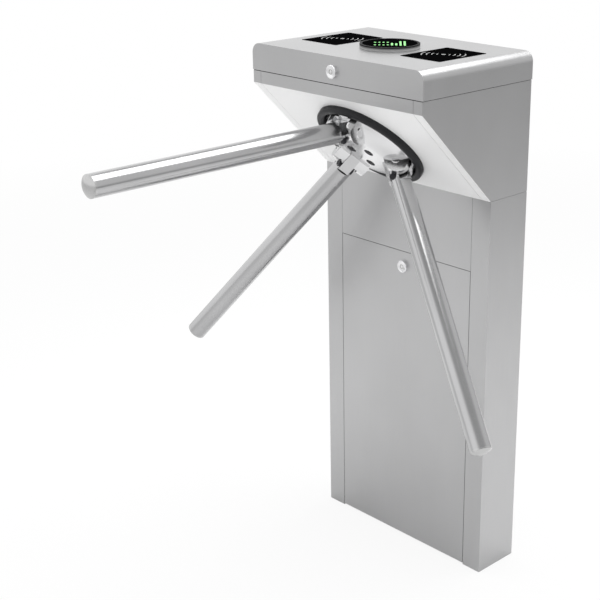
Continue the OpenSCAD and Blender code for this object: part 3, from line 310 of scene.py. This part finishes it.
def piece(name, parts, mat, body, smooth=False):
    """One object from closed parts, each a list of points and a list of faces."""
    verts, faces = [], []
    for v, f in parts:
        faces += [tuple(i + len(verts) for i in face) for face in f]
        verts += v
    me = bpy.data.meshes.new(name)
    me.from_pydata([tuple(c * MM for c in v) for v in verts], [], faces)
    bm = bmesh.new()
    bm.from_mesh(me)
    bmesh.ops.recalc_face_normals(bm, faces=bm.faces)
    bm.to_mesh(me)
    bm.free()
    if smooth:
        me.polygons.foreach_set("use_smooth", [True] * len(me.polygons))
        me.set_sharp_from_angle(angle=SHARP_ANGLE)
    me.materials.append(mat)
    o = bpy.data.objects.new(name, me)
    scene.collection.objects.link(o)
    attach(o, body)


def on_circle(radius, angles):
    return [(radius * math.cos(a), radius * math.sin(a)) for a in angles]


def around(steps):
    return [math.tau * i / steps for i in range(steps)]


# A plate's top is drawn in by PLATE_IN of its outline and its rim by a share of that. Its side
# stands upright over a share of its thickness, and its middle lies at a multiple of its crown
PLATE_IN, PLATE_RIM, PLATE_SIDE, PLATE_PEAK = 0.35, 0.3, 0.5, 1.3


def plate(outline, z, t, crown):
    """Closed thin plate on z over a flat outline, its top edge drawn in a little."""
    n = len(outline)
    cx, cy = (sum(axis) / n for axis in zip(*outline))
    rings = [(1.0, z), (1.0, z + t * PLATE_SIDE), (1.0 - PLATE_IN * PLATE_RIM, z + t),
             (1.0 - PLATE_IN, z + t + crown)]
    verts = [(cx + (x - cx) * k, cy + (y - cy) * k, h) for k, h in rings for x, y in outline]
    verts.append((cx, cy, z + t + crown * PLATE_PEAK))
    faces = [tuple(reversed(range(n)))]
    last = (len(rings) - 1) * n
    for r in range(0, last, n):
        faces += [(r + i, r + (i + 1) % n, r + n + (i + 1) % n, r + n + i) for i in range(n)]
    faces += [(last + i, last + (i + 1) % n, len(verts) - 1) for i in range(n)]
    return verts, faces


def turned(points, angle, origin):
    c, s = math.cos(angle), math.sin(angle)
    return [(origin[0] + x * c - y * s, origin[1] + x * s + y * c) for x, y in points]


def stroke(outer, inner, z, t):
    """Closed thin strip between two rows of points."""
    n = len(outer)
    verts = [(x, y, h) for h in (z, z + t) for row in (outer, inner) for x, y in row]
    faces = []
    for i in range(n - 1):
        faces += [(i, i + 1, n + i + 1, n + i),
                  (2 * n + i, 3 * n + i, 3 * n + i + 1, 2 * n + i + 1),
                  (i, 2 * n + i, 2 * n + i + 1, i + 1),
                  (n + i, n + i + 1, 3 * n + i + 1, 3 * n + i)]
    faces += [(0, n, 3 * n, 2 * n), (n - 1, 3 * n - 1, 4 * n - 1, 2 * n - 1)]
    return verts, faces


def block(lo, hi):
    """Closed block between two corners, as part of a thin strip."""
    verts = [(x, y, z) for z in (lo[2], hi[2]) for y in (lo[1], hi[1]) for x in (lo[0], hi[0])]
    return verts, [(0, 2, 3, 1), (4, 5, 7, 6), (0, 1, 5, 4), (2, 6, 7, 3), (0, 4, 6, 2),
                   (1, 3, 7, 5)]


LATHE_STEPS = 48


def lathe(profile, place):
    """Closed turned piece about its own Z, from radius and height pairs, then set in its place.

    A profile that starts and ends on the axis is solid, and any other is a ring.
    """
    verts, rows = [], []
    for r, h in profile:
        rows.append([len(verts) + (i if r else 0) for i in range(LATHE_STEPS)])
        angles = around(LATHE_STEPS) if r else [0.0]
        verts += [tuple(place @ Vector((x, y, h))) for x, y in on_circle(r, angles)]
    if profile[0][0]:
        rows.append(rows[0])
    faces = []
    for low, high in zip(rows, rows[1:]):
        for i in range(LATHE_STEPS):
            j = (i + 1) % LATHE_STEPS
            corners = dict.fromkeys((low[i], low[j], high[j], high[i]))
            if len(corners) > 2:
                faces.append(tuple(corners))
    return verts, faces


# ---------------------------------------------------------------- ear caps
HUB_AXIS, HUB_MID = Vector((0, -1, -1)).normalized(), Vector((0.0, -136.394, 834.394))
EAR_PAIRS, EAR_X, EAR_BOLT = 3, 32.8, (-195.3, 865.5)
EAR_CAP = [(0, -0.4), (10.2, -0.4), (10.2, 0.7), (10.0, 1.2), (9.4, 1.55), (8.6, 1.6),
           (7.9, 1.35), (7.4, 1.05), (6.6, 0.95), (3.0, 1.15), (0, 1.2)]
EAR_PLUG = [(0, -0.4), (7.2, -0.4), (7.2, 0.1), (6.9, 0.3), (6.4, 0.4), (3.2, 0.5), (0, 0.52)]


def make_ear_caps():
    """Blank caps over the bolt heads on one side of each pair of ears, plugs on the other."""
    parts = []
    for turn in range(EAR_PAIRS):
        spin = (Matrix.Translation(HUB_MID)
                @ Matrix.Rotation(math.tau * turn / EAR_PAIRS, 4, HUB_AXIS)
                @ Matrix.Translation(-HUB_MID))
        for side, profile in ((-1, EAR_PLUG), (1, EAR_CAP)):
            place = (spin @ Matrix.Translation((side * EAR_X, *EAR_BOLT))
                     @ Matrix.Rotation(side * math.pi / 2, 4, "Y"))
            parts.append(lathe(profile, place))
    piece("ear_caps", parts, MATS["hub_chrome"], "rotor", smooth=True)


# ---------------------------------------------------------------- marks on the lid
LENS_MID, LENS_Z = (0.0, -90.0), 1006.1
LED_TURN, LED_PITCH, LED_W = math.radians(44.3), 7.5, 3.8
LED_END_STEPS = 8
LED_SINK, LED_T, LED_CROWN = 0.1, 0.25, 0.1
LED_COLUMNS, DOT_COLUMNS, DOT_LENGTH, DOT_ROWS = 8, 4, 8.0, (-20.0, 9.0)
# Column, middle and length of each bar
LED_BARS = [(4, -12.0, 28.0), (5, -14.0, 22.0), (6, -3.0, 50.0), (7, -3.0, 50.0)]


def pill(w, h):
    """Outline of a bar with round ends, w across and h long."""
    r = w / 2
    half = max(h / 2 - r, 0)
    ends = on_circle(r, (math.pi * i / LED_END_STEPS for i in range(LED_END_STEPS + 1)))
    top = [(x, half + y) for x, y in ends]
    return top + [(-x, -y) for x, y in top]


def make_leds():
    """Two rows of four dots and four rising bars, lit through the round indicator."""
    bars = [(column, y, DOT_LENGTH) for column in range(DOT_COLUMNS) for y in DOT_ROWS]
    parts = []
    for column, y, length in bars + LED_BARS:
        x = (column - (LED_COLUMNS - 1) / 2) * LED_PITCH
        shape = [(x + px, y + py) for px, py in pill(LED_W, length)]
        parts.append(plate(turned(shape, LED_TURN, LENS_MID), LENS_Z - LED_SINK, LED_T,
                           LED_CROWN))
    piece("led_pattern", parts, LED_GREEN, "lid")


READER_MID, READER_Z = (125.0, -87.0), 1000.4
MARK_SINK, MARK_T, MARK_CROWN = 0.05, 0.12, 0.05
MARK_DOT_R, MARK_DOT_STEPS = 4.0, 24
WAVE_TURN, WAVE_HALF = math.radians(28), math.radians(24)
WAVE_RADII, WAVE_W, WAVE_STEPS = (11.0, 20.0, 29.0, 38.0), 1.9, 12


def make_reader_marks():
    """A dot between curved strokes on each reader, as contactless readers have."""
    angles = [WAVE_HALF * (2 * i / WAVE_STEPS - 1) for i in range(WAVE_STEPS + 1)]
    for side, name in ((-1, "left"), (1, "right")):
        mid = (side * READER_MID[0], READER_MID[1])
        dot = on_circle(MARK_DOT_R, around(MARK_DOT_STEPS))
        parts = [plate(turned(dot, 0, mid), READER_Z - MARK_SINK, MARK_T, MARK_CROWN)]
        for radius in WAVE_RADII:
            for way in (-1, 1):
                edges = [[(way * x, y) for x, y in on_circle(radius + out, angles)]
                         for out in (WAVE_W / 2, -WAVE_W / 2)]
                parts.append(stroke(*(turned(edge, WAVE_TURN, mid) for edge in edges),
                                    READER_Z - MARK_SINK, MARK_T))
        piece("reader_mark_" + name, parts, MARK_GREY, "lid")


# ---------------------------------------------------------------- painted shade in the gaps
RIM_Z, RIM_T, RIM_IN, RIM_W, RIM_GAP = 950.0, 1.0, 0.7, 5.0, 0.02
HEAD_X, HEAD_FRONT, HEAD_BACK = 210.0, -230.0, 50.0


def make_rim_gap_shade():
    """Black strip on the head's rim, painted shade that shows as the thin dark line of the gap
    under the lid.
    """
    verts = []
    for inset in (RIM_IN, RIM_IN + RIM_W):
        x, front, back = HEAD_X - inset, HEAD_FRONT + inset, HEAD_BACK - inset
        corners = ((-x, front), (x, front), (x, back), (-x, back))
        verts += [(*corner, z) for z in (RIM_Z + RIM_GAP, RIM_Z + RIM_T) for corner in corners]
    faces = [(a * 4 + i, a * 4 + (i + 1) % 4, b * 4 + (i + 1) % 4, b * 4 + i)
             for a, b in ((0, 1), (1, 3), (3, 2), (2, 0)) for i in range(4)]
    piece("lid_rim_painted_shade", [(verts, faces)], GAP_SHADE_BLACK, "housing")


OPENING_X, SEAM_FRONT, SEAM_BACK = 168.0, -49.9, -40.0
DOOR_X, DOOR_LOW, DOOR_TOP = 167.0, 16.5, 608.5
PANEL_X, PANEL_LOW, PANEL_TOP = 167.5, 609.5, 747.0
GAP_SHADE_ROOM = 0.06


def make_door_gap_shade():
    """Black blocks in the narrow gaps round the door and the panel above it, painted shade that
    darkens the seams.
    """
    parts = []
    for inner, low, high in ((DOOR_X, DOOR_LOW, DOOR_TOP), (PANEL_X, PANEL_LOW, PANEL_TOP)):
        for side in (-1, 1):
            ends = sorted((side * (inner + GAP_SHADE_ROOM), side * (OPENING_X - GAP_SHADE_ROOM)))
            parts.append(block((ends[0], SEAM_FRONT, low), (ends[1], SEAM_BACK, high)))
    parts.append(block((-DOOR_X, SEAM_FRONT, DOOR_TOP + GAP_SHADE_ROOM),
                       (DOOR_X, SEAM_BACK, PANEL_LOW - GAP_SHADE_ROOM)))
    piece("door_seam_painted_shade", parts, GAP_SHADE_BLACK, "housing")


# ---------------------------------------------------------------- lock faces
LOCK_RIM = [(11.6, -0.05), (12.0, 0.15), (11.9, 0.7), (11.3, 1.25), (10.3, 1.5), (9.4, 1.3),
            (8.8, 0.9), (8.4, 0.75), (5.1, 0.75), (4.8, 0.62), (4.7, 0.08), (4.6, -0.05)]
LOCK_PIN = [(0, -0.05), (2.4, -0.05), (2.35, 0.55), (2.1, 0.8), (1.4, 0.9), (0, 0.92)]
LOCK_GROOVE = [(4.75, -0.04), (4.72, 0.12), (2.3, 0.12), (2.28, -0.04)]
LOCK_PARTS = (("rim", LOCK_RIM, "lock_chrome"), ("pin", LOCK_PIN, "lock_chrome"),
              ("groove", LOCK_GROOVE, "cam_steel"))
# Each lock's body, and the middle of its face
LOCKS = (("lid", (0.0, -234.0, 973.0)), ("door", (0.0, -54.0, 579.5)))


def make_lock_faces():
    """Domed rim, round key groove and centre pin on the face of each cam lock."""
    for body, at in LOCKS:
        place = Matrix.Translation(at) @ Matrix.Rotation(math.pi / 2, 4, "X")
        for part, profile, slot in LOCK_PARTS:
            piece(body + "_lock_" + part, [lathe(profile, place)], MATS[slot], body,
                  smooth=True)


make_ear_caps()
make_leds()
make_reader_marks()
make_rim_gap_shade()
make_door_gap_shade()
make_lock_faces()


# ---------------------------------------------------------------- floor and light, in metres
FLOOR_HALF = 60
# Distances from the origin, and the floor's tone at each: a painted falloff of light that darkens
# the floor away from the object
TONE_FADE, FLOOR_PAINTED_FALLOFF = (1.2, 3.2), (0.92, 0.66)
# Distances from the origin, and how much of the white the camera sees at each
WHITE_FADE, WHITE_SHARES = (1.0, 3.5), (0.86, 1.0)
# Where the floor looks white in mirroring surfaces, and how white
FRONT_LEFT, FRONT_FADE, FRONT_SHARE = (-0.7, -0.7, 0), (1.1, 1.7), 0.6


def floor_share(tree, place):
    """How far a ray sees plain white instead of the lit floor."""
    path = tree.nodes.new("ShaderNodeLightPath").outputs
    mirrored = math_node(tree, "MAXIMUM", path["Is Glossy Ray"], path["Is Transmission Ray"])
    straight = mapped(tree, distance(tree, place), WHITE_FADE, WHITE_SHARES)
    in_front = math_node(tree, "MULTIPLY", towards(tree, place, FRONT_LEFT, FRONT_FADE),
                         FRONT_SHARE)
    return math_node(tree, "MAXIMUM",
                     math_node(tree, "MULTIPLY", path["Is Camera Ray"], straight),
                     math_node(tree, "MULTIPLY", mirrored, in_front))


def make_floor():
    me = bpy.data.meshes.new("floor")
    s = FLOOR_HALF
    me.from_pydata([(-s, -s, 0), (s, -s, 0), (s, s, 0), (-s, s, 0)], [], [(0, 1, 2, 3)])
    o = bpy.data.objects.new("floor", me)
    scene.collection.objects.link(o)
    m = bpy.data.materials.new("floor")
    m.use_nodes = True
    t = m.node_tree
    t.nodes.clear()
    out = t.nodes.new("ShaderNodeOutputMaterial")
    mix = t.nodes.new("ShaderNodeMixShader")
    diffuse = t.nodes.new("ShaderNodeBsdfDiffuse")
    white = t.nodes.new("ShaderNodeEmission")
    white.inputs["Strength"].default_value = 1.0
    place = coordinates(t, "Object")
    t.links.new(mapped(t, distance(t, place), TONE_FADE, FLOOR_PAINTED_FALLOFF), diffuse.inputs["Color"])
    t.links.new(floor_share(t, place), mix.inputs["Fac"])
    t.links.new(diffuse.outputs[0], mix.inputs[1])
    t.links.new(white.outputs[0], mix.inputs[2])
    t.links.new(mix.outputs[0], out.inputs["Surface"])
    me.materials.append(m)


SKY_TOP, SKY_LOW, SKY_LEFT = 0.48, 0.34, 0.34
# The low sky fades out upwards, and its left part to the right, over these spans of a ray's
# dot product with each direction
DOWN, LOW_SPAN = (0, 0, -1), (-0.78, -0.52)
LEFT, LEFT_SPAN = (-0.8, -0.6, 0), (-0.3, 0.4)


def make_world():
    """Soft studio sky: dim overhead, brighter low down and on the left, white to the camera."""
    world = bpy.data.worlds.new("studio")
    scene.world = world
    world.use_nodes = True
    t = world.node_tree
    t.nodes.clear()
    ray = coordinates(t, "Generated")
    left = math_node(t, "MULTIPLY", towards(t, ray, LEFT, LEFT_SPAN), SKY_LEFT)
    side = math_node(t, "ADD", left, SKY_LOW)
    low = math_node(t, "MULTIPLY", side, towards(t, ray, DOWN, LOW_SPAN))
    sky = math_node(t, "ADD", low, SKY_TOP)
    seen = t.nodes.new("ShaderNodeLightPath").outputs["Is Camera Ray"]
    back = t.nodes.new("ShaderNodeBackground")
    back.inputs["Color"].default_value = (1, 1, 1, 1)
    t.links.new(math_node(t, "MAXIMUM", sky, seen), back.inputs["Strength"])
    out = t.nodes.new("ShaderNodeOutputWorld")
    t.links.new(back.outputs[0], out.inputs["Surface"])


# Name, place, width and depth, and radiance of each lamp; both face straight down
LAMPS = (("overhead", (0.35, 0.6, 2.6), (1.8, 2.4), 3.0),
         ("overhead_left", (-1.4, -0.5, 2.6), (1.4, 1.7), 1.7))


def make_lamps():
    for name, place, (width, depth), radiance in LAMPS:
        data = bpy.data.lights.new(name, "AREA")
        data.shape = "RECTANGLE"
        data.size, data.size_y = width, depth
        data.energy = radiance * math.pi * width * depth
        o = bpy.data.objects.new(name, data)
        o.location = place
        scene.collection.objects.link(o)


make_floor()
make_world()
make_lamps()
